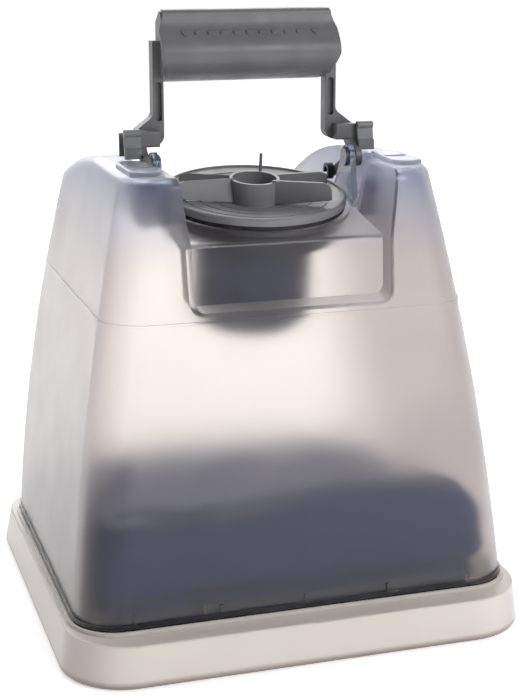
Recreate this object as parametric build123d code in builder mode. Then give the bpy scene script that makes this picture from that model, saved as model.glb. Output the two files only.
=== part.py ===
from build123d import *
from math import cos, radians, sin, tan
import os

# Removable two-part water tank: a hollow tank body on a shallow tray, with a soft bladder inside, a cap
# on a tilted neck and a handle that folds forward on two pivots.
# Millimetres, +Z up. X is the width, -Y is the front. The origin is under the middle of the tray.

# ---------------------------------------------------------------- driving dimensions
TRAY_WIDTH = 290.0
TRAY_DEPTH = 284.0
TRAY_CORNER = 40.0
TRAY_HEIGHT = 27.0
TRAY_WALL = 2.6
TRAY_TAPER = 4.0          # the side walls lean in by this much at the rim
TRAY_BACK_TAPER = 9.0     # and the back wall by this much
RIM_RIDGE = 2.2           # ridge that rings the gasket seat

TANK_BASE = 30.0          # bottom edge of the tank body, on the gasket
TANK_TOP = 282.0
TANK_WALL = 3.0
TANK_HALF_WIDTH = 135.2   # at the bottom edge
TANK_FRONT = 124.3
TANK_BACK = 125.2
TANK_FRONT_CORNER = 27.0
TANK_BACK_CORNER = 38.0
SMALL_CORNER = 9.0        # least corner radius of an outline moved well in
BEAD_HEIGHT = 200.8       # step that runs round the body
CROWN_START = 0.0         # the top rolls down towards the back from here
CROWN_RADIUS = 250.0
CROWN_SWEEP = radians(33)
CROWN_EDGE = 8.0
FLANGE_WIDTH = 14.0       # the seating flange at the bottom edge, turned inwards
PAD_RISE = 2.6            # raised pads on the shoulders
BEAD_RISE = 0.8
BEAD_TALL = 1.4
RIB_PLACES = (-104.0, -52.0, 0.0, 52.0, 104.0)
RIB_WIDTH = 2.2
RIB_TALL = 7.0

NECK_Y = -19.5
NECK_Z = 252.0
NECK_TILT = 8.3
NECK_OUTER = 59.2
NECK_BORE = 50.0
NECK_RING_HEIGHT = 2.4
NECK_DEPTH = 15.0

SADDLE_HALF_WIDTH = 60.0
SADDLE_TOP_HALF_WIDTH = 65.5
SLOT_HALF_WIDTH = 73.5    # wider behind the pivots, for the handle legs
SLOT_FRONT = -37.0
LEDGE_FRONT = -84.0
SADDLE_CREST = 42.0       # the saddle floor falls away behind here
POCKET_FLOOR = 208.0
POCKET_CORNER = 6.0       # between the pocket's floor and its sides
LEDGE_EDGE = 3.0

PIVOT_Y = -19.0
PIVOT_Z = 280.0
PIN_RADIUS = 3.0
PIN_CLEARANCE = 0.06
LUG_INNER = 60.6
LUG_OUTER = 64.2
LEG_INNER = 65.2
LEG_OUTER = 69.2

PIN_HEAD = 1.8
LUG_EYE = 7.5
LUG_FRONT = -33.0
LUG_BACK = 5.0
LEG_EYE = 6.2

GRIP_TOP = 370.5
GRIP_BOTTOM = 326.5
GRIP_MIDDLE = 352.0
GRIP_HALF_WIDTH = 56.2
GRIP_WALL = 2.4
GRIP_SCREWS = (-30.0, 30.0)
GRIP_SCREW_Z = 347.0
GRIP_BOSS_END = 8.0
GRIP_SEAT = 10.2          # the screw heads sit here, sunk in the back shell
ARM_INNER = 52.0
ARM_OUTER = 58.6
ARM_BACK = 4.5
FOOT_FRONT = -12.5
FOOT_BOTTOM = 289.4
FOOT_TOP = 299.3
HOOK_Y = 17.0
HOOK_Z = 265.5
HOOK_RADIUS = 5.3
HOOK_WIDTH = 4.2
CLIP_INNER = LEG_OUTER
CLIP_OUTER = 79.5
CLIP_FRONT = -18.0
CLIP_BACK = -5.0
CLIP_BOTTOM = 283.6
CLIP_TOP = 300.6
CLIP_WALL = 2.4
CLIP_LEAN = 3.0
CLIP_STEP = 0.36          # share of the clip's height that is thicker

CAP_RADIUS = 56.8
CAP_BOTTOM = 5.2          # heights along the neck's axis
CAP_TOP = 9.8
HUB_RADIUS = 15.5
HUB_TOP = 18.0
WING_SPREAD = 20.0        # half angle between a wing's two walls
WING_TURN = -14.0         # the wings' line, turned from the tank's width
VENT_X = 10.0
VENT_Y = 20.0
VENT_RADIUS = 1.0
VENT_TOP = 27.5
DISH_LOW = 3.8
PLUG_RADIUS = 49.5
WING_END = 51.0
WING_OFFSET = 3.8
WING_WALL = 2.0
WING_CORNER = 5.0

BASKET_RADIUS = 37.0
BASKET_DEPTH = 73.0

VALVE_Y = 92.0            # outlet valve, near the back of the tray
VALVE_RECESS = 23.4
VALVE_SEAT = 10.6
VALVE_BORE = 7.0
BARREL_RADIUS = 10.0
CAGE_RADIUS = 13.0
CAGE_TOP = 30.0
HEAD_RADIUS = 9.5
STEM_RADIUS = 2.0
SEAL_THICKNESS = 1.2
SPRING_RADIUS = 5.0
SPRING_WIRE = 0.5         # radius of the wire
CLAMP_INNER = 17.0
CLAMP_CIRCLE = 21.5
BLADDER_SKIN = 1.4
BLADDER_LEVELS = ((7, 18), (37, 17.5), (46, 5), (74, 5), (86, 13), (91, 34))

SCREW_RADIUS = 1.6
SCREW_PLACES = [(side * 126.4, y) for side in (-1, 1) for y in (-70, 0, 70)]
SCREW_PLACES += [(side * 60, -115.8) for side in (-1, 1)]
SCREW_PLACES += [(side * 60, 116.7) for side in (-1, 1)]

os.makedirs("parts", exist_ok=True)

neck_plane = Plane(
    origin=(0, NECK_Y, NECK_Z),
    x_dir=(1, 0, 0),
    z_dir=(0, -sin(radians(NECK_TILT)), cos(radians(NECK_TILT))),
)


def save(builder, name):
    """Label a finished piece and write it under its node name."""
    builder.part.label = name
    export_step(builder.part, f"parts/{name}.step")


# ---------------------------------------------------------------- shapes shared by several pieces
def tank_half_width(height):
    rise = height - TANK_BASE
    return TANK_HALF_WIDTH - 0.0904 * rise - 0.0003 * rise * rise


def tank_front(height):
    rise = height - TANK_BASE
    return -(TANK_FRONT - 0.1113 * rise - 0.0001 * rise * rise)


def tank_back(height):
    rise = height - TANK_BASE
    return TANK_BACK + 0.1189 * rise - 0.0006 * rise * rise


def tank_section(height, inset):
    """The tank's outline at one height, moved in by inset."""
    half_width = tank_half_width(height) - inset
    front = tank_front(height) + inset
    back = tank_back(height) - inset
    with BuildSketch(Plane.XY.offset(height)) as section:
        with Locations((0, (front + back) / 2)):
            Rectangle(2 * half_width, back - front)
        fillet(section.vertices().group_by(Axis.Y)[0], max(TANK_FRONT_CORNER - inset, SMALL_CORNER))
        fillet(section.vertices().group_by(Axis.Y)[-1], max(TANK_BACK_CORNER - inset, SMALL_CORNER))
    return section.sketch


def tank_form(inset, bottom, top, edge_radius):
    """The tank as a solid, moved in by inset, with its crowned top rounded at the edges."""
    levels = [bottom + (top + 6 - bottom) * step / 5 for step in range(6)]
    with BuildPart() as form:
        for level in levels:
            add(tank_section(level, inset))
        loft()
        with BuildSketch(Plane.YZ):
            with BuildLine():
                crown_end = (
                    CROWN_START + CROWN_RADIUS * sin(CROWN_SWEEP),
                    top - CROWN_RADIUS * (1 - cos(CROWN_SWEEP)),
                )
                Polyline(crown_end, (CROWN_START + 200, bottom), (-200, bottom), (-200, top), (CROWN_START, top))
                RadiusArc((CROWN_START, top), crown_end, CROWN_RADIUS)
            make_face()
        extrude(amount=200, both=True, mode=Mode.INTERSECT)
        fillet(form.edges().filter_by(lambda edge: edge.center().Z > BEAD_HEIGHT + 30
                                      and edge.bounding_box().min.Z > BEAD_HEIGHT + 30), edge_radius)
    return form.part


def floor_height(y):
    """Height of the saddle floor, which is tilted like the neck."""
    return NECK_Z + (y - NECK_Y) * tan(radians(NECK_TILT))


def saddle_form(grow):
    """The open space between the shoulders, with the pocket in front, grown outwards by grow."""
    with BuildPart() as form:
        with BuildSketch(Plane.YZ):
            with BuildLine():
                Polyline(
                    (-160, POCKET_FLOOR - 8),
                    (LEDGE_FRONT - 4, POCKET_FLOOR),
                    (LEDGE_FRONT, floor_height(LEDGE_FRONT)),
                    (SADDLE_CREST, floor_height(SADDLE_CREST)),
                    (150, floor_height(SADDLE_CREST) - 26),
                    (150, TANK_TOP + 40),
                    (-160, TANK_TOP + 40),
                    close=True,
                )
            make_face()
            fillet(vertices().sort_by_distance((SADDLE_CREST, floor_height(SADDLE_CREST)))[0], 60)
            offset(amount=grow, kind=Kind.INTERSECTION)
        extrude(amount=SADDLE_TOP_HALF_WIDTH + 20, both=True)
        with BuildSketch(Plane.XZ):
            with BuildLine():
                Polyline(
                    (-SADDLE_HALF_WIDTH + 1, POCKET_FLOOR - 20),
                    (-SADDLE_HALF_WIDTH, NECK_Z - 10),
                    (-SADDLE_TOP_HALF_WIDTH, TANK_TOP),
                    (-SADDLE_TOP_HALF_WIDTH - 4, TANK_TOP + 60),
                    (SADDLE_TOP_HALF_WIDTH + 4, TANK_TOP + 60),
                    (SADDLE_TOP_HALF_WIDTH, TANK_TOP),
                    (SADDLE_HALF_WIDTH, NECK_Z - 10),
                    (SADDLE_HALF_WIDTH - 1, POCKET_FLOOR - 20),
                    close=True,
                )
            make_face()
            offset(amount=grow, kind=Kind.INTERSECTION)
        extrude(amount=200, both=True, mode=Mode.INTERSECT)
        fillet(form.edges().filter_by(lambda edge: edge.center().Z < POCKET_FLOOR
                                      and abs(edge.center().X) > SADDLE_HALF_WIDTH / 2), POCKET_CORNER + grow)
        if grow == 0:
            ledge = (0, LEDGE_FRONT, floor_height(LEDGE_FRONT))
            fillet(form.edges().sort_by_distance(ledge)[0], LEDGE_EDGE)
    return form.part


def slot_form(grow):
    """The wider part of the saddle, behind the pivots, where the handle legs swing."""
    with BuildPart() as form:
        with BuildSketch(Plane.YZ):
            with BuildLine():
                Polyline(
                    (SLOT_FRONT, floor_height(SLOT_FRONT)),
                    (SADDLE_CREST, floor_height(SADDLE_CREST)),
                    (150, floor_height(SADDLE_CREST) - 26),
                    (150, TANK_TOP + 40),
                    (SLOT_FRONT - 8, TANK_TOP + 40),
                    close=True,
                )
            make_face()
            fillet(vertices().sort_by_distance((SADDLE_CREST, floor_height(SADDLE_CREST)))[0], 60)
            offset(amount=grow, kind=Kind.INTERSECTION)
        extrude(amount=SLOT_HALF_WIDTH + grow, both=True)
    return form.part


def shoulder_pads():
    """Raised flat pads on both shoulders, in front of the latch clips."""
    with BuildPart() as form:
        with BuildSketch(Plane.XY.offset(TANK_TOP - TANK_WALL)):
            for side in (-1, 1):
                with Locations((side * 80, -53)):
                    RectangleRounded(19, 50, 9)
        extrude(amount=TANK_WALL + PAD_RISE)
        fillet(form.edges().group_by(Axis.Z)[-1], 1.8)
    return form.part


def tank_cavity():
    """The hollow inside the tank body, open at the bottom inside the seating flange."""
    with BuildPart() as form:
        add(tank_form(TANK_WALL, TANK_BASE + TANK_WALL, TANK_TOP - TANK_WALL, CROWN_EDGE - 2))
        add(saddle_form(TANK_WALL), mode=Mode.SUBTRACT)
        add(slot_form(TANK_WALL), mode=Mode.SUBTRACT)
        add(tank_section(TANK_BASE - 1, FLANGE_WIDTH))
        extrude(amount=TANK_WALL + 2)
    return form.part


# ---------------------------------------------------------------- tank body
with BuildPart() as tank_body:
    add(tank_form(0, TANK_BASE, TANK_TOP, CROWN_EDGE))
    add(saddle_form(0), mode=Mode.SUBTRACT)
    add(slot_form(0), mode=Mode.SUBTRACT)
    add(tank_cavity(), mode=Mode.SUBTRACT)
    # raised pads on the shoulders, hollow underneath, each with a long recess
    add(shoulder_pads())
    with BuildSketch(Plane.XY.offset(TANK_TOP + PAD_RISE)):
        for side in (-1, 1):
            with Locations((side * 79, -55)):
                SlotOverall(14, 6)
    extrude(amount=-2, mode=Mode.SUBTRACT)
    # the filler neck: a collar through the saddle floor, a rounded ring round it and a ledge inside
    with BuildSketch(neck_plane.offset(-NECK_DEPTH)):
        Circle(NECK_BORE + TANK_WALL)
    extrude(amount=NECK_DEPTH + NECK_RING_HEIGHT)
    with BuildSketch(neck_plane.offset(-2.5)):
        Circle(NECK_OUTER)
    extrude(amount=2.5 + NECK_RING_HEIGHT)
    with BuildSketch(neck_plane.offset(-NECK_DEPTH)):
        Circle(NECK_BORE)
    extrude(amount=NECK_DEPTH + NECK_RING_HEIGHT + 1, mode=Mode.SUBTRACT)
    with BuildSketch(neck_plane.offset(-NECK_DEPTH)):
        Circle(NECK_BORE + 1)
        Circle(BASKET_RADIUS + 1.2, mode=Mode.SUBTRACT)
    extrude(amount=2.6)
    # the bead round the body and the thicker bottom edge
    for height, tall in ((BEAD_HEIGHT, BEAD_TALL), (TANK_BASE, 2 * BEAD_TALL)):
        with BuildSketch(Plane.XY.offset(height)):
            add(tank_section(height, -BEAD_RISE).moved(Location((0, 0, -height))))
            add(tank_section(height, 1).moved(Location((0, 0, -height))), mode=Mode.SUBTRACT)
        extrude(amount=tall)
    # short ribs on the front, just above the bottom edge
    with Locations([(x, tank_front(TANK_BASE) + 0.4, TANK_BASE + RIB_TALL / 2 + 1) for x in RIB_PLACES]):
        Box(RIB_WIDTH, 3, RIB_TALL)
    # holes for the tray screws
    with BuildSketch(Plane.XY.offset(TANK_BASE - 1)):
        with Locations(SCREW_PLACES):
            Circle(SCREW_RADIUS + 0.05)
    extrude(amount=TANK_WALL + 2, mode=Mode.SUBTRACT)
save(tank_body, "tank_body")


# ---------------------------------------------------------------- tray, gasket and tray screws
def tray_section(height, inset):
    """The tray's outline at one height, moved in by inset."""
    lean = height / TRAY_HEIGHT
    half_width = TRAY_WIDTH / 2 - TRAY_TAPER * lean - inset
    front = -TRAY_DEPTH / 2 + inset
    back = TRAY_DEPTH / 2 - TRAY_BACK_TAPER * lean - inset
    with BuildSketch(Plane.XY.offset(height)) as section:
        with Locations((0, (front + back) / 2)):
            RectangleRounded(2 * half_width, back - front, TRAY_CORNER - inset)
    return section.sketch


def ring_on_rim(inner, outer, tall):
    """A ridge that follows the tank's bottom outline, on top of the tray's rim."""
    with BuildPart() as form:
        with BuildSketch(Plane.XY.offset(TRAY_HEIGHT)):
            add(tank_section(TANK_BASE, -outer).moved(Location((0, 0, -TANK_BASE))))
            add(tank_section(TANK_BASE, -inner).moved(Location((0, 0, -TANK_BASE))), mode=Mode.SUBTRACT)
        extrude(amount=tall)
    return form.part


with BuildPart() as base_tray:
    add(tray_section(0, 0))
    add(tray_section(TRAY_HEIGHT, 0))
    loft()
    fillet(base_tray.edges().group_by(Axis.Z)[0], 3)
    fillet(base_tray.edges().group_by(Axis.Z)[-1], 1.2)
    with BuildPart(mode=Mode.PRIVATE) as tray_hollow:
        add(tray_section(TRAY_WALL, TRAY_WALL))
        add(tray_section(TRAY_HEIGHT - TRAY_WALL, TRAY_WALL))
        loft()
    add(tray_hollow.part, mode=Mode.SUBTRACT)
    # the skirt round the opening, then the opening itself
    with BuildSketch(Plane.XY.offset(TRAY_HEIGHT - 9)):
        add(tank_section(TANK_BASE, FLANGE_WIDTH - 2.0).moved(Location((0, 0, -TANK_BASE))))
    extrude(amount=9)
    with BuildSketch(Plane.XY.offset(TRAY_HEIGHT - 10)):
        add(tank_section(TANK_BASE, FLANGE_WIDTH).moved(Location((0, 0, -TANK_BASE))))
    extrude(amount=11, mode=Mode.SUBTRACT)
    add(ring_on_rim(1.2, 2.8, RIM_RIDGE))
    # screw holes in the rim
    with BuildSketch(Plane.XY.offset(TRAY_HEIGHT - TRAY_WALL - 1)):
        with Locations(SCREW_PLACES):
            Circle(SCREW_RADIUS + 0.05)
    extrude(amount=TRAY_WALL + 2, mode=Mode.SUBTRACT)
    # the recess under the outlet valve
    with BuildSketch():
        with Locations((0, VALVE_Y)):
            Circle(VALVE_RECESS + TRAY_WALL)
    extrude(amount=VALVE_SEAT)
    with BuildSketch():
        with Locations((0, VALVE_Y)):
            Circle(VALVE_RECESS)
    extrude(amount=VALVE_SEAT - TRAY_WALL, mode=Mode.SUBTRACT)
    with BuildSketch():
        with Locations((0, VALVE_Y)):
            Circle(BARREL_RADIUS + 0.1)
            with PolarLocations(CLAMP_CIRCLE, 4, start_angle=45):
                Circle(SCREW_RADIUS)
    extrude(amount=VALVE_SEAT + 1, mode=Mode.SUBTRACT)
save(base_tray, "base_tray")

with BuildPart() as rim_gasket:
    add(ring_on_rim(-5.0, -0.5, TANK_BASE - TRAY_HEIGHT))
save(rim_gasket, "rim_gasket")

with BuildPart() as tray_screws:
    with BuildSketch(Plane.XY.offset(TRAY_HEIGHT - TRAY_WALL - 2)):
        with Locations(SCREW_PLACES):
            Circle(SCREW_RADIUS * 1.8)
    extrude(amount=2)
    with BuildSketch(Plane.XY.offset(TRAY_HEIGHT - TRAY_WALL)):
        with Locations(SCREW_PLACES):
            Circle(SCREW_RADIUS)
    extrude(amount=11)
save(tray_screws, "tray_screws")


# ---------------------------------------------------------------- bladder and its clamp
with BuildPart() as bladder:
    for height, inset in BLADDER_LEVELS:
        add(tank_section(height, inset))
    loft(ruled=True)
    with BuildSketch():
        with Locations((0, VALVE_Y)):
            Circle(VALVE_RECESS + TRAY_WALL + 1)
    extrude(amount=VALVE_SEAT + 0.1, mode=Mode.SUBTRACT)
    with BuildSketch(Plane.XY.offset(VALVE_SEAT)):
        with Locations((0, VALVE_Y)):
            Circle(CLAMP_INNER)
            with PolarLocations(CLAMP_CIRCLE, 4, start_angle=45):
                Circle(SCREW_RADIUS + 0.1)
    extrude(amount=4, mode=Mode.SUBTRACT)
    with BuildSketch(Plane.XY.offset(VALVE_SEAT + BLADDER_SKIN)):
        with Locations((0, VALVE_Y)):
            Circle(VALVE_RECESS + TRAY_WALL + 0.9)
    extrude(amount=26, mode=Mode.SUBTRACT)
save(bladder, "bladder")

with BuildPart() as bladder_clamp_ring:
    with BuildSketch(Plane.XY.offset(VALVE_SEAT + BLADDER_SKIN)):
        with Locations((0, VALVE_Y)):
            Circle(VALVE_RECESS + TRAY_WALL)
            Circle(CLAMP_INNER, mode=Mode.SUBTRACT)
            with PolarLocations(CLAMP_CIRCLE, 4, start_angle=45):
                Circle(SCREW_RADIUS, mode=Mode.SUBTRACT)
    extrude(amount=3)
save(bladder_clamp_ring, "bladder_clamp_ring")

with BuildPart() as clamp_screws:
    with BuildSketch(Plane.XY.offset(VALVE_SEAT - TRAY_WALL)):
        with Locations((0, VALVE_Y)):
            with PolarLocations(CLAMP_CIRCLE, 4, start_angle=45):
                Circle(SCREW_RADIUS)
    extrude(amount=TRAY_WALL + BLADDER_SKIN + 3)
    with BuildSketch(Plane.XY.offset(VALVE_SEAT + BLADDER_SKIN + 3)):
        with Locations((0, VALVE_Y)):
            with PolarLocations(CLAMP_CIRCLE, 4, start_angle=45):
                Circle(SCREW_RADIUS * 1.9)
    extrude(amount=1.8)
save(clamp_screws, "clamp_screws")


# ---------------------------------------------------------------- outlet valve
valve_axis = Axis((0, VALVE_Y, 0), (0, 0, 1))
valve_side = Plane(origin=(0, VALVE_Y, 0), x_dir=(1, 0, 0), z_dir=(0, -1, 0))

with BuildPart() as outlet_valve_body:
    with BuildSketch(valve_side):
        with BuildLine():
            Polyline(
                (VALVE_BORE, 2),
                (BARREL_RADIUS, 2),
                (BARREL_RADIUS, VALVE_SEAT),
                (CLAMP_INNER - 0.5, VALVE_SEAT),
                (CLAMP_INNER - 0.5, VALVE_SEAT + 2.4),
                (CAGE_RADIUS, VALVE_SEAT + 2.4),
                (CAGE_RADIUS, CAGE_TOP),
                (STEM_RADIUS + PIN_CLEARANCE, CAGE_TOP),
                (STEM_RADIUS + PIN_CLEARANCE, CAGE_TOP - 2),
                (CAGE_RADIUS - 2, CAGE_TOP - 2),
                (CAGE_RADIUS - 2, VALVE_SEAT + 2.4),
                (VALVE_BORE, VALVE_SEAT + 2.4),
                close=True,
            )
        make_face()
    revolve(axis=valve_axis)
    # four windows that let the water into the cage
    with BuildSketch(Plane.XY.offset(VALVE_SEAT + 6)):
        with Locations((0, VALVE_Y)):
            with PolarLocations(CAGE_RADIUS, 4):
                Rectangle(8, 9)
    extrude(amount=CAGE_TOP - VALVE_SEAT - 10, mode=Mode.SUBTRACT)
save(outlet_valve_body, "outlet_valve_body")

with BuildPart() as outlet_nut:
    with BuildSketch(Plane.XY.offset(3)):
        with Locations((0, VALVE_Y)):
            RegularPolygon(BARREL_RADIUS + 5, 6)
            Circle(BARREL_RADIUS, mode=Mode.SUBTRACT)
    extrude(amount=VALVE_SEAT - TRAY_WALL - 3)
save(outlet_nut, "outlet_nut")

HEAD_BOTTOM = VALVE_SEAT + 2.4 + SEAL_THICKNESS
with BuildPart() as outlet_poppet:
    with BuildSketch(valve_side):
        with BuildLine():
            Polyline(
                (0, 3.5),
                (STEM_RADIUS, 3.5),
                (STEM_RADIUS, HEAD_BOTTOM),
                (HEAD_RADIUS, HEAD_BOTTOM),
                (HEAD_RADIUS, HEAD_BOTTOM + 2),
                (STEM_RADIUS, HEAD_BOTTOM + 2),
                (STEM_RADIUS, CAGE_TOP + 1),
                (0, CAGE_TOP + 1),
                close=True,
            )
        make_face()
    revolve(axis=valve_axis)
save(outlet_poppet, "outlet_poppet")

with BuildPart() as outlet_seal:
    with BuildSketch(Plane.XY.offset(HEAD_BOTTOM - SEAL_THICKNESS + 0.05)):
        with Locations((0, VALVE_Y)):
            Circle(HEAD_RADIUS)
            Circle(STEM_RADIUS, mode=Mode.SUBTRACT)
    extrude(amount=SEAL_THICKNESS - 0.05)
save(outlet_seal, "outlet_seal")

with BuildPart() as outlet_spring:
    spring_height = CAGE_TOP - 2 - (HEAD_BOTTOM + 2) - 2 * SPRING_WIRE - 0.4
    with BuildLine():
        coil = Helix(
            pitch=spring_height / 4,
            height=spring_height,
            radius=SPRING_RADIUS,
            center=(0, VALVE_Y, HEAD_BOTTOM + 2 + SPRING_WIRE + 0.2),
        )
    with BuildSketch(Plane(origin=coil @ 0, z_dir=coil % 0)):
        Circle(SPRING_WIRE)
    sweep()
save(outlet_spring, "outlet_spring")


# ---------------------------------------------------------------- neck: basket, seal ring and cap
neck_axis = Axis(neck_plane.origin, neck_plane.z_dir)
neck_side = Plane(origin=neck_plane.origin, x_dir=(1, 0, 0), z_dir=-neck_plane.y_dir)


def turned(points):
    """A solid of revolution about the neck's axis, from its (radius, height) outline."""
    with BuildPart() as form:
        with BuildSketch(neck_side):
            with BuildLine():
                Polyline(*points, close=True)
            make_face()
        revolve(axis=neck_axis)
    return form.part


with BuildPart() as strainer_basket:
    flange_top = -NECK_DEPTH + 2.6 + 2.0
    wall = 1.6
    add(turned([
        (0, -BASKET_DEPTH),
        (BASKET_RADIUS - 5, -BASKET_DEPTH),
        (BASKET_RADIUS, -BASKET_DEPTH + 6),
        (BASKET_RADIUS, flange_top - 2),
        (NECK_BORE - 1, flange_top - 2),
        (NECK_BORE - 1, flange_top),
        (BASKET_RADIUS - wall, flange_top),
        (BASKET_RADIUS - wall, -BASKET_DEPTH + 6.5),
        (BASKET_RADIUS - 5.6, -BASKET_DEPTH + wall),
        (0, -BASKET_DEPTH + wall),
    ]))
    # drain slots low in the wall, and holes in the floor
    with BuildSketch(neck_plane.offset(-BASKET_DEPTH + 12)):
        with PolarLocations(BASKET_RADIUS, 12):
            Rectangle(8, 4)
    extrude(amount=18, mode=Mode.SUBTRACT)
    with BuildSketch(neck_plane.offset(-BASKET_DEPTH - 1)):
        with GridLocations(9, 9, 5, 5):
            Circle(2.2)
    extrude(amount=5, mode=Mode.SUBTRACT)
save(strainer_basket, "strainer_basket")

with BuildPart() as cap_seal_ring:
    add(turned([
        (NECK_BORE + 0.7, NECK_RING_HEIGHT + 0.1),
        (CAP_RADIUS - 0.6, NECK_RING_HEIGHT + 0.1),
        (CAP_RADIUS - 0.6, CAP_BOTTOM - 0.1),
        (CAP_RADIUS - 2.4, CAP_BOTTOM - 0.1),
        (CAP_RADIUS - 2.4, CAP_BOTTOM + 0.5),
        (NECK_BORE + 0.7, CAP_BOTTOM + 0.5),
    ]))
save(cap_seal_ring, "cap_seal_ring")


def dish_height(radius):
    """Height of the cap's sunk floor, which rises gently from the hub to the rim."""
    return DISH_LOW + (radius - HUB_RADIUS) * (CAP_TOP - 1.0 - DISH_LOW) / (CAP_RADIUS - 2 - HUB_RADIUS)


dish_steps = []
for radius in (26, 36, 46):
    dish_steps += [
        (radius - 0.6, dish_height(radius - 0.6)),
        (radius - 0.6, dish_height(radius) + 0.4),
        (radius + 0.6, dish_height(radius) + 0.4),
        (radius + 0.6, dish_height(radius + 0.6)),
    ]

with BuildPart() as fill_cap:
    add(turned([
        (0, DISH_LOW - 2),
        (HUB_RADIUS, DISH_LOW - 2),
        (PLUG_RADIUS - 2, dish_height(PLUG_RADIUS) - 2.2),
        (PLUG_RADIUS - 2, -8),
        (PLUG_RADIUS, -8),
        (PLUG_RADIUS, dish_height(PLUG_RADIUS) - 2),
        (CAP_RADIUS - 2, dish_height(CAP_RADIUS - 2) - 2),
        (CAP_RADIUS - 2, CAP_BOTTOM),
        (CAP_RADIUS, CAP_BOTTOM),
        (CAP_RADIUS, CAP_TOP - 0.8),
        (CAP_RADIUS - 0.8, CAP_TOP),
        (CAP_RADIUS - 2, CAP_TOP),
        (CAP_RADIUS - 2, dish_height(CAP_RADIUS - 2)),
        *reversed(dish_steps),
        (HUB_RADIUS, DISH_LOW),
        (0, DISH_LOW),
    ]))
    # the hub, a hollow cup
    with BuildSketch(neck_plane.offset(DISH_LOW - 1)):
        Circle(HUB_RADIUS)
    extrude(amount=HUB_TOP - DISH_LOW + 1)
    # four thin walls make the two finger wings
    for side in (0, 180):
        for lean in (-1, 1):
            angle = side + WING_TURN + lean * WING_SPREAD
            along = neck_plane.rotated((0, 0, angle))
            wing_plane = Plane(origin=along.origin, x_dir=along.x_dir, z_dir=-along.y_dir)
            with BuildSketch(wing_plane.offset(-lean * WING_OFFSET)):
                with BuildLine():
                    Polyline(
                        (HUB_RADIUS - 3, DISH_LOW - 1),
                        (WING_END, dish_height(WING_END) - 1),
                        (WING_END, HUB_TOP - WING_CORNER),
                        (WING_END - WING_CORNER * 0.3, HUB_TOP - WING_CORNER * 0.3),
                        (WING_END - WING_CORNER, HUB_TOP),
                        (HUB_RADIUS - 3, HUB_TOP),
                        close=True,
                    )
                make_face()
            extrude(amount=WING_WALL / 2, both=True)
    # clear the underside, between the plug wall and the rim
    add(turned([
        (PLUG_RADIUS, -9),
        (CAP_RADIUS - 2, -9),
        (CAP_RADIUS - 2, dish_height(CAP_RADIUS - 2) - 2),
        (PLUG_RADIUS, dish_height(PLUG_RADIUS) - 2),
    ]), mode=Mode.SUBTRACT)
    with BuildSketch(neck_plane.offset(DISH_LOW)):
        Circle(HUB_RADIUS - 2)
    extrude(amount=HUB_TOP, mode=Mode.SUBTRACT)
    # a flat boss for the vent stem
    with BuildSketch(neck_plane.offset(1)):
        with Locations((VENT_X, VENT_Y)):
            Circle(6.5)
    extrude(amount=DISH_LOW)
    with BuildSketch(neck_plane.offset(-1)):
        with Locations((VENT_X, VENT_Y)):
            Circle(VENT_RADIUS + PIN_CLEARANCE)
    extrude(amount=12, mode=Mode.SUBTRACT)
save(fill_cap, "fill_cap")

with BuildPart() as vent_stem:
    with BuildSketch(neck_plane.offset(-2.4)):
        with Locations((VENT_X, VENT_Y)):
            Circle(VENT_RADIUS)
    extrude(amount=VENT_TOP + 2.4)
    fillet(vent_stem.edges().group_by(neck_axis)[-1], 0.5)
    with BuildSketch(neck_plane.offset(-2.4)):
        with Locations((VENT_X, VENT_Y)):
            Circle(VENT_RADIUS * 2.2)
    extrude(amount=1.4)
    with BuildSketch(neck_plane.offset(12)):
        with Locations((VENT_X, VENT_Y)):
            Circle(VENT_RADIUS * 2)
    extrude(amount=1.2)
save(vent_stem, "vent_stem")

with BuildPart() as vent_disc:
    with BuildSketch(neck_plane.offset(-1)):
        with Locations((VENT_X, VENT_Y)):
            Circle(5.5)
            Circle(VENT_RADIUS, mode=Mode.SUBTRACT)
    extrude(amount=1.9)
save(vent_disc, "vent_disc")


# ---------------------------------------------------------------- pivots
def side_plane(x):
    """Vertical plane across the width at x, whose sketches read (y, z)."""
    return Plane.YZ.offset(x)


for side, hand in ((-1, "left"), (1, "right")):
    with BuildPart() as pivot_lug:
        with BuildSketch(side_plane(side * LUG_INNER)):
            with BuildLine():
                Polyline(
                    (LUG_FRONT, floor_height(LUG_FRONT)),
                    (LUG_BACK, floor_height(LUG_BACK)),
                    (PIVOT_Y + LUG_EYE, PIVOT_Z),
                    (PIVOT_Y - LUG_EYE, PIVOT_Z),
                    close=True,
                )
            make_face()
            with Locations((PIVOT_Y, PIVOT_Z)):
                Circle(LUG_EYE)
                Circle(PIN_RADIUS, mode=Mode.SUBTRACT)
        extrude(amount=side * (LUG_OUTER - LUG_INNER))
    save(pivot_lug, f"pivot_lug_{hand}")

    with BuildPart() as pivot_pin:
        with BuildSketch(side_plane(side * LUG_INNER)):
            with Locations((PIVOT_Y, PIVOT_Z)):
                Circle(PIN_RADIUS)
        extrude(amount=side * (LEG_OUTER + 1 - LUG_INNER))
        with BuildSketch(side_plane(side * (LUG_INNER - PIN_HEAD))):
            with Locations((PIVOT_Y, PIVOT_Z)):
                Circle(PIN_RADIUS * 2)
        extrude(amount=side * PIN_HEAD)
        chamfer(pivot_pin.edges().group_by(Axis.X)[0 if side > 0 else -1], 0.5)
    save(pivot_pin, f"pivot_pin_{hand}")


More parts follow.
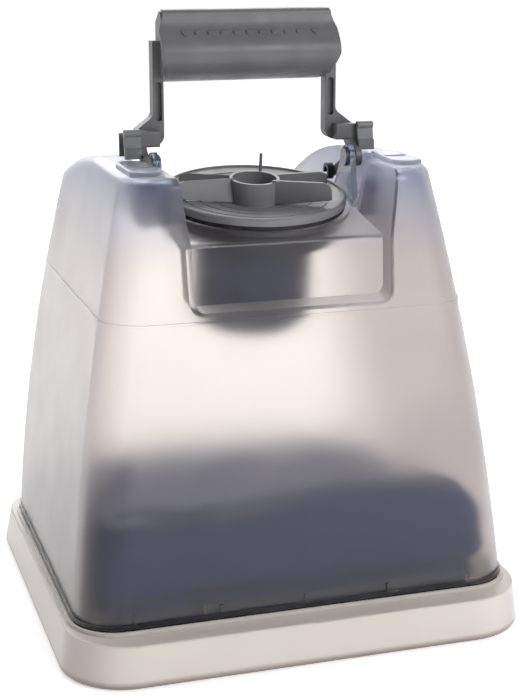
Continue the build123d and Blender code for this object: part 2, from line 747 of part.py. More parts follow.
# ---------------------------------------------------------------- handle
def handle_front_outline(side):
    """Front view of one arm with its foot, which reaches out to the clip."""
    with BuildSketch(Plane.XZ) as outline:
        with BuildLine():
            Polyline(
                (side * ARM_INNER, GRIP_MIDDLE),
                (side * ARM_INNER, FOOT_BOTTOM),
                (side * LEG_OUTER, FOOT_BOTTOM),
                (side * LEG_OUTER, FOOT_TOP),
                (side * ARM_OUTER, FOOT_TOP + 8),
                (side * ARM_OUTER, GRIP_MIDDLE),
                close=True,
            )
        make_face()
        fillet(vertices().sort_by_distance((side * ARM_INNER, FOOT_BOTTOM))[0], 6)
        fillet(vertices().sort_by_distance((side * ARM_OUTER, FOOT_TOP + 8))[0], 5)
    return outline.sketch


def grip_end_outline():
    """Front view of the grip: widest in the middle, with rounded ends."""
    with BuildSketch(Plane.XZ) as outline:
        with BuildLine():
            Polyline(
                (-GRIP_HALF_WIDTH + 4, GRIP_TOP + 4),
                (-GRIP_HALF_WIDTH + 3, GRIP_TOP - 4),
                (-GRIP_HALF_WIDTH, GRIP_TOP - 12),
                (-GRIP_HALF_WIDTH, GRIP_TOP - 27),
                (-GRIP_HALF_WIDTH + 8, GRIP_BOTTOM - 4),
                (GRIP_HALF_WIDTH - 8, GRIP_BOTTOM - 4),
                (GRIP_HALF_WIDTH, GRIP_TOP - 27),
                (GRIP_HALF_WIDTH, GRIP_TOP - 12),
                (GRIP_HALF_WIDTH - 3, GRIP_TOP - 4),
                (GRIP_HALF_WIDTH - 4, GRIP_TOP + 4),
                close=True,
            )
        make_face()
    return outline.sketch


GRIP_FRONT_CURVE = [
    (-3.0, GRIP_TOP - 1.2),
    (-7.2, GRIP_TOP - 3.2),
    (-8.6, GRIP_TOP - 7.4),
    (-10.6, GRIP_TOP - 11.4),
    (-15.8, GRIP_TOP - 17.6),
    (-19.4, GRIP_TOP - 24.6),
    (-17.6, GRIP_TOP - 31.6),
    (-9.6, GRIP_TOP - 38.0),
    (-1.0, GRIP_BOTTOM + 2.6),
    (4.0, GRIP_BOTTOM + 1.6),
]
GRIP_BACK_CURVE = [
    (-0.4, GRIP_TOP - 2.0),
    (6.6, GRIP_TOP - 6.0),
    (12.0, GRIP_TOP - 15.0),
    (13.4, GRIP_TOP - 25.0),
    (10.4, GRIP_TOP - 36.0),
    (6.0, GRIP_BOTTOM + 3.6),
]

band_plane = Plane(
    origin=(0, -14.1, GRIP_TOP - 13.7),
    x_dir=(1, 0, 0),
    z_dir=(0, -0.766, 0.643),
)

with BuildPart() as handle_frame:
    with BuildSketch(Plane.YZ):
        with BuildLine():
            Spline(*GRIP_FRONT_CURVE)
        trace(line_width=GRIP_WALL)
        # the rolled top edge
        with Locations((-5.4, GRIP_TOP - 3.6)):
            Circle(3.4)
    extrude(amount=GRIP_HALF_WIDTH, both=True)
    extrude(grip_end_outline(), amount=60, both=True, mode=Mode.INTERSECT)
    # end webs join the front shell to the arms
    for side in (-1, 1):
        with BuildSketch(side_plane(side * ARM_INNER)):
            with BuildLine():
                Spline(*GRIP_FRONT_CURVE)
                Polyline(GRIP_FRONT_CURVE[-1], (6.0, GRIP_BOTTOM + 8), (6.0, GRIP_TOP - 8), GRIP_FRONT_CURVE[0])
            make_face()
        extrude(amount=side * 2)
        extrude(handle_front_outline(side), amount=ARM_BACK, both=True)
        # the foot is deeper than the arm
        with BuildSketch(side_plane(side * (ARM_OUTER - 2))):
            with BuildLine():
                Polyline(
                    (FOOT_FRONT, FOOT_BOTTOM),
                    (ARM_BACK, FOOT_BOTTOM),
                    (ARM_BACK, FOOT_TOP),
                    (FOOT_FRONT, FOOT_TOP),
                    close=True,
                )
            make_face()
            fillet(vertices(), 1.5)
        extrude(amount=side * (LEG_OUTER - ARM_OUTER + 2))
        # the leg, down from the foot to the pivot and back to the hook
        with BuildSketch(side_plane(side * LEG_INNER)):
            with BuildLine():
                Polyline(
                    (FOOT_FRONT + 0.5, FOOT_BOTTOM + 1),
                    (ARM_BACK - 2, FOOT_BOTTOM + 1),
                    (PIVOT_Y + LEG_EYE + 2, PIVOT_Z + 2),
                    (HOOK_Y, HOOK_Z + 3),
                    (HOOK_Y - 1, HOOK_Z - 3),
                    (PIVOT_Y + 2, PIVOT_Z - LEG_EYE + 0.4),
                    (PIVOT_Y - LEG_EYE, PIVOT_Z),
                    close=True,
                )
            make_face()
            with Locations((PIVOT_Y, PIVOT_Z)):
                Circle(LEG_EYE)
                Circle(PIN_RADIUS + PIN_CLEARANCE, mode=Mode.SUBTRACT)
        extrude(amount=side * (LEG_OUTER - LEG_INNER))
    # open channels in the front of the arms
    for side in (-1, 1):
        with BuildSketch(Plane.XZ.offset(ARM_BACK + 1)):
            with Locations((side * (ARM_INNER + ARM_OUTER) / 2, (FOOT_TOP + GRIP_BOTTOM) / 2 + 3)):
                RectangleRounded(ARM_OUTER - ARM_INNER - 2.6, GRIP_BOTTOM - FOOT_TOP - 4, 1.5)
        extrude(amount=-4, mode=Mode.SUBTRACT)
    # bosses for the grip screws
    with BuildSketch(Plane.XZ.offset(-GRIP_BOSS_END)):
        with Locations([(x, GRIP_SCREW_Z) for x in GRIP_SCREWS]):
            Circle(SCREW_RADIUS + 2)
    extrude(amount=GRIP_BOSS_END + 17.5)
    with BuildSketch(Plane.XZ.offset(-GRIP_BOSS_END)):
        with Locations([(x, GRIP_SCREW_Z) for x in GRIP_SCREWS]):
            Circle(SCREW_RADIUS)
    extrude(amount=10, mode=Mode.SUBTRACT)
    # raised arrowheads and bars on the band under the rolled edge
    with BuildSketch(band_plane.offset(-0.5)):
        with Locations((-41, 0), (41, 0)):
            RegularPolygon(2.6, 3, rotation=-90)
        with GridLocations(8, 1, 9, 1):
            RectangleRounded(5.2, 2.6, 0.7)
    extrude(amount=1.1)
save(handle_frame, "handle_frame")

with BuildPart() as grip_back_shell:
    with BuildSketch(Plane.YZ):
        with BuildLine():
            Spline(*GRIP_BACK_CURVE)
        trace(line_width=GRIP_WALL)
    extrude(amount=ARM_INNER - 0.2, both=True)
    with BuildSketch(Plane.XZ.offset(-GRIP_BOSS_END - 0.05)):
        with Locations([(x, GRIP_SCREW_Z) for x in GRIP_SCREWS]):
            Circle(SCREW_RADIUS + 3.2)
    extrude(amount=-(GRIP_SEAT - GRIP_BOSS_END + 1.5))
    with BuildSketch(Plane.XZ.offset(-GRIP_SEAT)):
        with Locations([(x, GRIP_SCREW_Z) for x in GRIP_SCREWS]):
            Circle(SCREW_RADIUS * 2 + 0.1)
    extrude(amount=-10, mode=Mode.SUBTRACT)
    with BuildSketch(Plane.XZ.offset(-GRIP_BOSS_END)):
        with Locations([(x, GRIP_SCREW_Z) for x in GRIP_SCREWS]):
            Circle(SCREW_RADIUS + 0.1)
    extrude(amount=-10, mode=Mode.SUBTRACT)
save(grip_back_shell, "grip_back_shell")

with BuildPart() as grip_screws:
    with BuildSketch(Plane.XZ.offset(-GRIP_SEAT)):
        with Locations([(x, GRIP_SCREW_Z) for x in GRIP_SCREWS]):
            Circle(SCREW_RADIUS)
    extrude(amount=GRIP_SEAT)
    with BuildSketch(Plane.XZ.offset(-GRIP_SEAT)):
        with Locations([(x, GRIP_SCREW_Z) for x in GRIP_SCREWS]):
            Circle(SCREW_RADIUS * 2)
    extrude(amount=-2)
save(grip_screws, "grip_screws")

for side, hand in ((-1, "left"), (1, "right")):
    with BuildPart() as latch_clip:
        # front plate, rolled at the top and thicker below the step
        with BuildSketch(side_plane(side * CLIP_INNER)):
            with BuildLine():
                Polyline(
                    (CLIP_FRONT, CLIP_BOTTOM),
                    (CLIP_FRONT + CLIP_WALL, CLIP_BOTTOM),
                    (CLIP_FRONT + CLIP_LEAN + CLIP_WALL, CLIP_TOP),
                    (CLIP_FRONT + CLIP_LEAN, CLIP_TOP),
                    (CLIP_FRONT + CLIP_LEAN * CLIP_STEP, CLIP_BOTTOM + (CLIP_TOP - CLIP_BOTTOM) * CLIP_STEP),
                    (CLIP_FRONT - 0.6, CLIP_BOTTOM + (CLIP_TOP - CLIP_BOTTOM) * CLIP_STEP),
                    (CLIP_FRONT - 0.6, CLIP_BOTTOM),
                    close=True,
                )
            make_face()
            with Locations((CLIP_FRONT + CLIP_LEAN + 0.6, CLIP_TOP - 2)):
                Circle(2.3)
        extrude(amount=side * (CLIP_OUTER - CLIP_INNER))
        # inner flange against the foot
        with BuildSketch(side_plane(side * CLIP_INNER)):
            with BuildLine():
                Polyline(
                    (CLIP_FRONT + 2, CLIP_BOTTOM + 3),
                    (CLIP_BACK, CLIP_BOTTOM + 3),
                    (CLIP_BACK, CLIP_TOP - 4),
                    (CLIP_FRONT + CLIP_LEAN + 2, CLIP_TOP - 1),
                    close=True,
                )
            make_face()
        extrude(amount=side * 2)
        # thin back plate, set a little further out
        with BuildSketch(side_plane(side * (CLIP_INNER + 1))):
            with Locations((CLIP_BACK - 0.75, (CLIP_BOTTOM + CLIP_TOP) / 2 - 1)):
                Rectangle(1.5, CLIP_TOP - CLIP_BOTTOM - 3)
        extrude(amount=side * (CLIP_OUTER - CLIP_INNER))
    save(latch_clip, f"latch_clip_{hand}")

    with BuildPart() as stop_hook:
        with BuildSketch(side_plane(side * (LEG_INNER - HOOK_WIDTH))):
            with Locations((HOOK_Y + 2, HOOK_Z)):
                Circle(HOOK_RADIUS)
                Circle(HOOK_RADIUS - 2.5, mode=Mode.SUBTRACT)
            with Locations((HOOK_Y + 2 + HOOK_RADIUS * 0.7, HOOK_Z - HOOK_RADIUS * 0.7)):
                Rectangle(HOOK_RADIUS, HOOK_RADIUS, mode=Mode.SUBTRACT)
        extrude(amount=side * HOOK_WIDTH)
    save(stop_hook, f"stop_hook_{hand}")
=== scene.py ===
# %% [markdown]
# # A two-chamber water tank in smoky plastic
# The tank lifts out of a floor washer. A see-through body stands on a shallow tray, and a dark soft bladder
# fills the bottom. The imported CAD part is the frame: its rigid pieces stay where they are and get finishes,
# and only the soft bladder is made again, because thin film wrinkles and a CAD solid can't.

import bpy
import math
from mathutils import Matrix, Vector, noise


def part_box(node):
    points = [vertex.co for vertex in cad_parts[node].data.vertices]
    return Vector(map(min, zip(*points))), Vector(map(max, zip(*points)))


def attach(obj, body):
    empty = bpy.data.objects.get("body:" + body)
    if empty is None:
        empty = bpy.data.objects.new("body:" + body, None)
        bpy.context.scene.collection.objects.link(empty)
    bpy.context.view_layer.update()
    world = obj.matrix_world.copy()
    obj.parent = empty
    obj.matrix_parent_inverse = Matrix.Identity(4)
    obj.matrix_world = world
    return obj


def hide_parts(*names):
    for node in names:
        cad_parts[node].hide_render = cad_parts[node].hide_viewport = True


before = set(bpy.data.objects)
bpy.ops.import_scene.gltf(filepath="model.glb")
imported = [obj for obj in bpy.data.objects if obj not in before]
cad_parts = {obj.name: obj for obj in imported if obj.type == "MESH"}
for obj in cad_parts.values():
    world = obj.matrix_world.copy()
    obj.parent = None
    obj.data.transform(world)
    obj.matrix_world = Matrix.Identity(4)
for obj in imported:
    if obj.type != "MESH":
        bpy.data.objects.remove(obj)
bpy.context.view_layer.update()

# %% [markdown]
# ## One shader for every finish
# Every finish here starts from one Principled shader. Its coordinates are the object's own, in metres, so a
# pattern stays put when the tank is seen from another side.


# %% Start a finish
def start_finish(name, roughness, ior=1.45):
    """A new material: returns it with its nodes, its shader and its coordinates."""
    finish = bpy.data.materials.new(name)
    finish.use_nodes = True
    tree = finish.node_tree
    tree.nodes.clear()
    output = tree.nodes.new("ShaderNodeOutputMaterial")
    skin = tree.nodes.new("ShaderNodeBsdfPrincipled")
    skin.inputs["Roughness"].default_value = roughness
    skin.inputs["IOR"].default_value = ior
    place = tree.nodes.new("ShaderNodeTexCoord")
    tree.links.new(skin.outputs["BSDF"], output.inputs["Surface"])
    return finish, tree, skin, place


print("helper:", start_finish.__name__)

# %% [markdown]
# ## Uneven colour and shine
# Moulded plastic is never one flat colour: the melt flows unevenly, and dust and handling leave patches. A
# soft noise, mapped to the range that is wanted, moves the colour and the roughness a little.


# %% Noise and mixing
def cloud(tree, place, size, detail=3.0):
    """A soft noise whose patches are about that many metres across."""
    patches = tree.nodes.new("ShaderNodeTexNoise")
    patches.inputs["Scale"].default_value = 1.0 / size
    patches.inputs["Detail"].default_value = detail
    tree.links.new(place.outputs["Object"], patches.inputs["Vector"])
    return patches.outputs["Fac"]


def spread(tree, value, low, high, start=0.3, end=0.7):
    """Maps a value from start..end to low..high."""
    mapped = tree.nodes.new("ShaderNodeMapRange")
    mapped.inputs["From Min"].default_value = start
    mapped.inputs["From Max"].default_value = end
    mapped.inputs["To Min"].default_value = low
    mapped.inputs["To Max"].default_value = high
    tree.links.new(value, mapped.inputs["Value"])
    return mapped.outputs["Result"]


def blended(tree, share, first, second):
    """A colour between two, each a tuple or another node's output."""
    mixed = tree.nodes.new("ShaderNodeMix")
    mixed.data_type = "RGBA"
    tree.links.new(share, mixed.inputs["Factor"])
    for colour, socket in ((first, mixed.inputs["A"]), (second, mixed.inputs["B"])):
        if isinstance(colour, tuple):
            socket.default_value = (*colour, 1.0)
        else:
            tree.links.new(colour, socket)
    return mixed.outputs["Result"]


print("helpers:", cloud.__name__, spread.__name__, blended.__name__)


# %% Patches of colour and of shine
def mottled(tree, place, size, first, second):
    """Two colours in soft patches that many metres across."""
    return blended(tree, spread(tree, cloud(tree, place, size), 0.0, 1.0), first, second)


def patchy_shine(tree, place, skin, size, low, high):
    """Roughness that drifts between two values."""
    tree.links.new(spread(tree, cloud(tree, place, size), low, high), skin.inputs["Roughness"])


print("helpers:", mottled.__name__, patchy_shine.__name__)

# %% [markdown]
# ## Grain and edges
# An etched mould or a wiping cloth leaves fine bumps. Moulded edges are never quite sharp, and a rounded edge
# catches a line of light, so the shader's normals are rounded there without a change to the shape.


# %% Bumps and soft edges
def grain(tree, place, skin, size, depth, strength=0.5, detail=5.0):
    """Fine bumps, as a mould or a wiping cloth leaves them."""
    bump = tree.nodes.new("ShaderNodeBump")
    bump.inputs["Strength"].default_value = strength
    bump.inputs["Distance"].default_value = depth
    tree.links.new(cloud(tree, place, size, detail), bump.inputs["Height"])
    tree.links.new(bump.outputs["Normal"], skin.inputs["Normal"])
    return bump


def soften_edges(tree, bump, radius):
    """Rounds the look of sharp edges, so that they catch the light."""
    rounded = tree.nodes.new("ShaderNodeBevel")
    rounded.inputs["Radius"].default_value = radius
    tree.links.new(rounded.outputs["Normal"], bump.inputs["Normal"])


print("helpers:", grain.__name__, soften_edges.__name__)

# %% [markdown]
# ## Painted shade by height and by side
# Painted shade: a colour may change with height, or with the way that a face looks, so that the sides and the
# shoulders look darker, as if in shade.

# %% Heights and sides
# Where the painted shade on the sides begins and where it is full.
SIDE_SHADE_START = 0.35
SIDE_SHADE_END = 0.95


# The height mask sets where painted shade lies: at the shoulders and at the tray's foot.
def shade_height_share(tree, place, low, high):
    """0 below the first height, 1 above the second."""
    parts = tree.nodes.new("ShaderNodeSeparateXYZ")
    tree.links.new(place.outputs["Object"], parts.inputs["Vector"])
    return spread(tree, parts.outputs["Z"], 0.0, 1.0, low, high)


# The side mask sets where painted shade darkens faces that look left or right.
def side_shade_share(tree, place):
    """1 on faces that look left or right, 0 on the front, back and top."""
    facing = tree.nodes.new("ShaderNodeSeparateXYZ")
    tree.links.new(place.outputs["Normal"], facing.inputs["Vector"])
    sideways = tree.nodes.new("ShaderNodeMath")
    sideways.operation = "ABSOLUTE"
    tree.links.new(facing.outputs["X"], sideways.inputs[0])
    return spread(tree, sideways.outputs["Value"], 0.0, 1.0, SIDE_SHADE_START, SIDE_SHADE_END)


print("helpers:", shade_height_share.__name__, side_shade_share.__name__)


# %% Put a finish on its pieces
def give(finish, *names):
    """Puts one finish on whole CAD nodes."""
    for name in names:
        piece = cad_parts[name]
        piece.data.materials.clear()
        piece.data.materials.append(finish)
    print(finish.name, "on", ", ".join(names))


print("helper:", give.__name__)

# %% [markdown]
# ## The see-through body
# The body is moulded in a smoky, frosted plastic: light passes, but outlines behind it blur. Clear glass would
# be too crisp, and a plain white too solid. So nearly all of the shader lets light through roughly. The frost
# is patchy. The colour is darker and warmer on the sides and cooler towards the shoulders: that is painted
# shade.

# %% Smoky plastic
SMOKY_IOR = 1.28
FLOW_PATCH = 0.07
FLOW_FADE = 0.97
FROST_PATCH = 0.03
# The shoulder heights bound the painted shade towards the shoulders.
SHOULDER_SHADE_START = 0.228
SHOULDER_SHADE_END = 0.284
RIPPLE_SIZE = 0.05
BODY_RIPPLE = 0.0012


def smoky_plastic(name, low_colour, side_shade_colour, shoulder_shade_colour, clear, roughness):
    """Frosted plastic with three colours: its own colour low down, and painted shade on the sides and at the
    shoulders.
    """
    finish, tree, skin, place = start_finish(name, roughness, SMOKY_IOR)
    skin.inputs["Transmission Weight"].default_value = clear
    skin.inputs["Coat Weight"].default_value = 0.35
    skin.inputs["Coat Roughness"].default_value = 0.06
    flow = mottled(tree, place, FLOW_PATCH, low_colour, tuple(FLOW_FADE * channel for channel in low_colour))
    # Painted shade: the sides and the shoulders are darkened in the base colour.
    side_shaded = blended(tree, side_shade_share(tree, place), flow, side_shade_colour)
    shoulder_shaded = blended(tree, shade_height_share(tree, place, SHOULDER_SHADE_START, SHOULDER_SHADE_END), side_shaded, shoulder_shade_colour)
    tree.links.new(shoulder_shaded, skin.inputs["Base Color"])
    patchy_shine(tree, place, skin, FROST_PATCH, roughness - 0.04, roughness + 0.05)
    grain(tree, place, skin, RIPPLE_SIZE, BODY_RIPPLE, 0.3, 0.0)
    return finish


# The second and third colours of each are painted shade, on the sides and at the shoulders.
body_plastic = smoky_plastic("smoky_body", (0.88, 0.85, 0.82), (0.60, 0.55, 0.55), (0.52, 0.55, 0.68),
                             clear=0.993, roughness=0.34)
lug_plastic = smoky_plastic("smoky_lug", (0.62, 0.66, 0.74), (0.60, 0.64, 0.72), (0.45, 0.50, 0.60),
                            clear=0.85, roughness=0.2)
give(body_plastic, "tank_body")
give(lug_plastic, "pivot_lug_left", "pivot_lug_right", "pivot_pin_left", "pivot_pin_right")

# %% [markdown]
# ## The tray
# The tray is thicker, warmer and milkier than the body: less than half of its shader lets light through.
# Where it meets the floor the wall turns under, and a dark brown band is painted there as painted shade.
# Its sides are darkened with painted shade too.

# %% Cream plastic
TRAY_PATCH = 0.05
TRAY_RIPPLE = 0.0006
# The foot heights bound the band of painted shade at the tray's foot.
FOOT_SHADE_START = 0.001
FOOT_SHADE_END = 0.0055

tray_plastic, tree, skin, place = start_finish("cream_tray", 0.30, 1.20)
skin.inputs["Transmission Weight"].default_value = 0.40
skin.inputs["Coat Weight"].default_value = 0.5
skin.inputs["Coat Roughness"].default_value = 0.1
wall_colour = mottled(tree, place, TRAY_PATCH, (1.0, 0.95, 0.89), (0.985, 0.925, 0.865))
# Painted shade: the tray's sides are darkened in the colour.
side_shaded = blended(tree, side_shade_share(tree, place), wall_colour, (0.72, 0.65, 0.62))
# Painted shade: a dark brown band at the foot, where the tray meets the floor.
foot_shaded_colour = blended(tree, shade_height_share(tree, place, FOOT_SHADE_START, FOOT_SHADE_END), (0.30, 0.21, 0.18), side_shaded)
tree.links.new(foot_shaded_colour, skin.inputs["Base Color"])
grain(tree, place, skin, RIPPLE_SIZE, TRAY_RIPPLE, 0.2, 0.0)
give(tray_plastic, "base_tray")

# %% [markdown]
# ## Grey and black moulded parts
# The handle and the cap are a mid grey plastic with a satin skin, and the valve, hooks and basket are the same
# kind in near black. The mould was lightly etched, so the bump is very fine, and handling has polished some
# patches: the roughness follows a larger, softer noise. A few pale specks stand for dust.

# %% Satin plastic
TONE_PATCH = 0.02
SPECK_SIZE = 0.0012
SPECK_SHARE = 0.25
SPECK_LIFT = 1.6
POLISH_PATCH = 0.015
ETCH_SIZE = 0.0009
ETCH_DEPTH = 0.00018
EDGE_RADIUS = 0.0008


def satin_plastic(name, colour, worn_colour, roughness):
    """Etched plastic in two close tones, with pale specks and softened edges."""
    finish, tree, skin, place = start_finish(name, roughness)
    tone = mottled(tree, place, TONE_PATCH, colour, worn_colour)
    speck_share = spread(tree, cloud(tree, place, SPECK_SIZE, 2.0), 0.0, SPECK_SHARE, 0.62, 0.75)
    pale = tuple(min(1.0, SPECK_LIFT * channel) for channel in colour)
    tree.links.new(blended(tree, speck_share, tone, pale), skin.inputs["Base Color"])
    patchy_shine(tree, place, skin, POLISH_PATCH, roughness - 0.07, roughness + 0.08)
    bump = grain(tree, place, skin, ETCH_SIZE, ETCH_DEPTH, 0.5)
    soften_edges(tree, bump, EDGE_RADIUS)
    return finish


handle_grey = satin_plastic("handle_grey", (0.128, 0.125, 0.128), (0.155, 0.152, 0.155), 0.40)
cap_grey = satin_plastic("cap_grey", (0.195, 0.192, 0.198), (0.230, 0.227, 0.233), 0.40)
clip_grey = satin_plastic("clip_grey", (0.165, 0.17, 0.18), (0.20, 0.205, 0.215), 0.34)
valve_black = satin_plastic("valve_black", (0.022, 0.023, 0.026), (0.034, 0.035, 0.039), 0.42)
basket_black = satin_plastic("basket_black", (0.035, 0.042, 0.09), (0.05, 0.058, 0.12), 0.45)
give(handle_grey, "handle_frame", "grip_back_shell")
give(cap_grey, "fill_cap")
give(clip_grey, "latch_clip_left", "latch_clip_right", "vent_stem")
give(valve_black, "outlet_valve_body", "outlet_nut", "outlet_poppet", "bladder_clamp_ring",
     "stop_hook_left", "stop_hook_right")
give(basket_black, "strainer_basket")

# %% [markdown]
# ## Rubber
# Seals are matte black rubber with a dusty bloom. Bloom is a patchy lighter grey, so it is mixed in with noise.

# %% Seal rubber
seal_rubber, tree, skin, place = start_finish("seal_rubber", 0.62)
bloom = mottled(tree, place, 0.006, (0.012, 0.012, 0.014), (0.032, 0.032, 0.035))
tree.links.new(bloom, skin.inputs["Base Color"])
patchy_shine(tree, place, skin, 0.004, 0.52, 0.74)
grain(tree, place, skin, 0.0012, 0.0002, 0.6)
give(seal_rubber, "rim_gasket", "cap_seal_ring", "vent_disc", "outlet_seal")

# %% [markdown]
# ## Steel
# Screws and the spring are plain bright steel. Drawing and turning leave fine marks, and a fine noise in the
# roughness and the bump stands for them.

# %% Bright steel
steel, tree, skin, place = start_finish("bright_steel", 0.3)
skin.inputs["Metallic"].default_value = 1.0
metal = mottled(tree, place, 0.003, (0.56, 0.56, 0.57), (0.46, 0.46, 0.48))
tree.links.new(metal, skin.inputs["Base Color"])
patchy_shine(tree, place, skin, 0.0015, 0.2, 0.42)
grain(tree, place, skin, 0.0008, 0.0001, 0.4)
give(steel, "tray_screws", "clamp_screws", "grip_screws", "outlet_spring")

# %% [markdown]
# ## The soft bladder
# The bladder is a bag of thin dark film. Half full, it slumps to the tray's shape with a rolling, creased top.
# A cloth simulation could crease it too. Noise is quicker, and gives the same creases on every run. A voxel
# remesh gives an even skin first, with points close enough together to hold a crease.

# %% Remesh the bag
SKIN_STEP = 0.0034

bag_low, bag_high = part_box("bladder")
cad_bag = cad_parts["bladder"]
bag = bpy.data.objects.new("soft_bladder", cad_bag.data.copy())
bpy.context.collection.objects.link(bag)
even_skin = bag.modifiers.new("even_skin", "REMESH")
even_skin.mode = "VOXEL"
even_skin.voxel_size = SKIN_STEP
skinned = bpy.data.meshes.new_from_object(bag.evaluated_get(bpy.context.evaluated_depsgraph_get()))
bag.modifiers.clear()
bag.data = skinned
print("bag skin", len(bag.data.vertices), "points")

# %% [markdown]
# ## How film creases and sags
# Film folds broadly and crumples finely on top of that. Both are deeper near the top, where nothing presses on
# the bag. The back of the top sinks as well, since the bag is only half full.

# %% Creases and sag
FOLDS_ACROSS = 16
FOLDS_UP = 26
FOLD_SHIFT = Vector((3.1, 7.7, 1.3))
CRUMPLES = 34
CRUMPLE_DEPTH = 0.0011
FOOT_DEPTH = 0.0012
TOP_DEPTH = 0.0075
DEEPER_FROM = 0.25
SAG_DEPTH = 0.032
SAG_FROM = 0.3
SAG_FRONT = -0.09
SAG_LENGTH = 0.14


def height_in_bag(point):
    """0 at the bag's foot, 1 at its top."""
    return (point.z - bag_low[2]) / (bag_high[2] - bag_low[2])


def crease_depth(point):
    """How far a point of the bag moves in, in metres: broad folds and a fine crumple."""
    stretched = Vector((point.x * FOLDS_ACROSS, point.y * FOLDS_ACROSS, point.z * FOLDS_UP))
    folds = noise.noise(stretched + FOLD_SHIFT)
    crumple = noise.ridged_multi_fractal(point * CRUMPLES, 1.0, 2.0, 4, 1.0, 2.0)
    rough = FOOT_DEPTH + TOP_DEPTH * max(0.0, height_in_bag(point) - DEEPER_FROM)
    return max(0.0, rough * (0.55 + 0.8 * folds) + CRUMPLE_DEPTH * crumple)


def sag(point):
    """The half-full bag sinks towards the back, by up to 32 mm at its top."""
    up = max(0.0, height_in_bag(point) - SAG_FROM) / 0.7
    back = min(1.0, max(0.0, (point.y - SAG_FRONT) / SAG_LENGTH))
    return SAG_DEPTH * up * back * back * (3 - 2 * back)


print("sag at the back of the top", round(sag(Vector((0.0, bag_high[1], bag_high[2]))), 4))

# %% [markdown]
# ## Shape the bag
# Each point moves towards a spot near the bag's foot, and higher points move mostly down. The foot stays flat
# on the tray, and the film round the valve stays where the clamp ring holds it.

# %% Move the skin's points
VALVE_SPOT = Vector((0.0, 0.092, 0.0))
VALVE_REACH = 0.034
VALVE_TOP = 0.05
FOOT_FLAT = 0.0015
SPOT_HEIGHT = 0.012
UPPER_PART = 0.055
SIDEWAYS_SHARE = 0.3

middle = Vector((0.0, 0.0, bag_low[2] + SPOT_HEIGHT))
for vertex in bag.data.vertices:
    point = vertex.co
    from_valve = math.hypot(point.x - VALVE_SPOT.x, point.y - VALVE_SPOT.y)
    held = from_valve < VALVE_REACH and point.z < VALVE_TOP
    if held or point.z < bag_low[2] + FOOT_FLAT:
        continue
    inward = middle - point
    if point.z > bag_low[2] + UPPER_PART:
        inward.x *= SIDEWAYS_SHARE
        inward.y *= SIDEWAYS_SHARE
    inward.normalize()
    vertex.co = point + inward * crease_depth(point) - Vector((0.0, 0.0, sag(point)))
bag.data.shade_smooth()
print("bag top", round(max(v.co.z for v in bag.data.vertices), 4), "of", round(bag_high[2], 4))

# %% [markdown]
# ## The bag takes the solid's place
# The plain solid goes out of sight and the creased bag stands for it, fixed to the tank.

# %% Swap the bag in
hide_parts("bladder")
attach(bag, "tank")
print(bag.name, "rides on the tank in the bladder's place")

# %% [markdown]
# ## The bag's film
# The film is dark blue rubbery plastic. Seen through the frosted wall only its colour is left, so it is a deep
# blue with broad soft patches, and it shines little: a strong shine would wash out behind the wall.

# %% Film for the bag
bag_film, tree, skin, place = start_finish("bladder_film", 0.55)
skin.inputs["Specular IOR Level"].default_value = 0.25
film_colour = mottled(tree, place, 0.03, (0.006, 0.018, 0.105), (0.011, 0.028, 0.140))
tree.links.new(film_colour, skin.inputs["Base Color"])
patchy_shine(tree, place, skin, 0.012, 0.45, 0.65)
grain(tree, place, skin, 0.006, 0.0006, 0.5)
bag.data.materials.clear()
bag.data.materials.append(bag_film)
print(bag_film.name, "on", bag.name)

# %% [markdown]
# ## The floor
# A pale floor that glows a little keeps the see-through plastic bright: it can only look light if there is
# something pale behind it.

# %% Floor
FLOOR_SIDE = 12.0
FLOOR_GAP = 0.0002
FLOOR_PATCH = 0.8

bpy.ops.mesh.primitive_plane_add(size=FLOOR_SIDE, location=(0.0, 0.0, -FLOOR_GAP))
floor = bpy.context.object
floor.name = "pale_floor"
floor_paint, tree, skin, place = start_finish("floor_paint", 0.75)
paint_colour = mottled(tree, place, FLOOR_PATCH, (0.93, 0.93, 0.93), (0.91, 0.91, 0.91))
tree.links.new(paint_colour, skin.inputs["Base Color"])
skin.inputs["Emission Color"].default_value = (1.0, 1.0, 1.0, 1.0)
skin.inputs["Emission Strength"].default_value = 0.5
floor.data.materials.append(floor_paint)
print("floor", tuple(round(side, 2) for side in floor.dimensions))

# %% [markdown]
# ## The room
# A bright room behind and a dim one in front make the frosted wall glow from the back, and let its edges and
# folds go dark.

# %% Room
DIM_FRONT = (0.075, 0.08, 0.10)
BRIGHT_BACK = (1.0, 1.0, 1.0)
FRONT_END = -0.35
BACK_START = 0.45

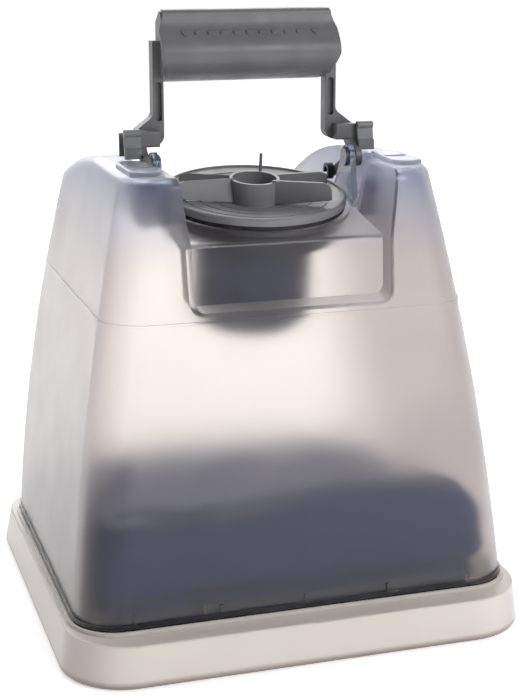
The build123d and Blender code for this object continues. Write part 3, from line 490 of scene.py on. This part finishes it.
room = bpy.data.worlds.new("pale_room")
room.use_nodes = True
walls = room.node_tree
backdrop = walls.nodes["Background"]
backdrop.inputs["Strength"].default_value = 1.0
heading = walls.nodes.new("ShaderNodeTexCoord")
split = walls.nodes.new("ShaderNodeSeparateXYZ")
walls.links.new(heading.outputs["Generated"], split.inputs["Vector"])
depth = spread(walls, split.outputs["Y"], 0.0, 1.0, FRONT_END, BACK_START)
walls.links.new(blended(walls, depth, DIM_FRONT, BRIGHT_BACK), backdrop.inputs["Color"])
bpy.context.scene.world = room
bpy.context.scene.view_settings.view_transform = "Standard"
print("room", room.name, "seen with", bpy.context.scene.view_settings.view_transform)

# %% [markdown]
# ## The lamps
# The key lamp stands to the front right, a weak one to the left and a broad one behind. All are large, so their
# highlights are soft.

# %% Lamps
TANK_MIDDLE = Vector((0.0, 0.0, 0.16))


def soft_light(name, place, size, power):
    """A square lamp that looks at the tank's middle."""
    lamp = bpy.data.lights.new(name, "AREA")
    lamp.size = size
    lamp.energy = power
    stand = bpy.data.objects.new(name, lamp)
    stand.location = place
    stand.rotation_euler = (TANK_MIDDLE - Vector(place)).to_track_quat("-Z", "Y").to_euler()
    bpy.context.collection.objects.link(stand)


soft_light("key_light", (0.9, -1.6, 1.2), size=1.1, power=24.0)
soft_light("fill_light", (-1.5, -0.8, 1.4), size=1.2, power=1.0)
soft_light("back_light", (0.2, 1.7, 1.3), size=1.6, power=18.0)
print("lamps", len(bpy.data.lights))

# %% [markdown]
# ## Camera
# A long lens, a little to the left of the front and above it, keeps the tank's sides nearly straight.

# %% Camera
lens = bpy.data.cameras.new("camera")
lens.lens = 79.7
lens.sensor_width = 36.0
camera = bpy.data.objects.new("camera", lens)
camera.location = (-0.280, -0.923, 0.415)
look_at = Vector((0.0, -0.0352, 0.1639))
camera.rotation_euler = (look_at - camera.location).to_track_quat("-Z", "Y").to_euler()
bpy.context.collection.objects.link(camera)
bpy.context.scene.camera = camera
print("camera distance", round((look_at - camera.location).length, 3))
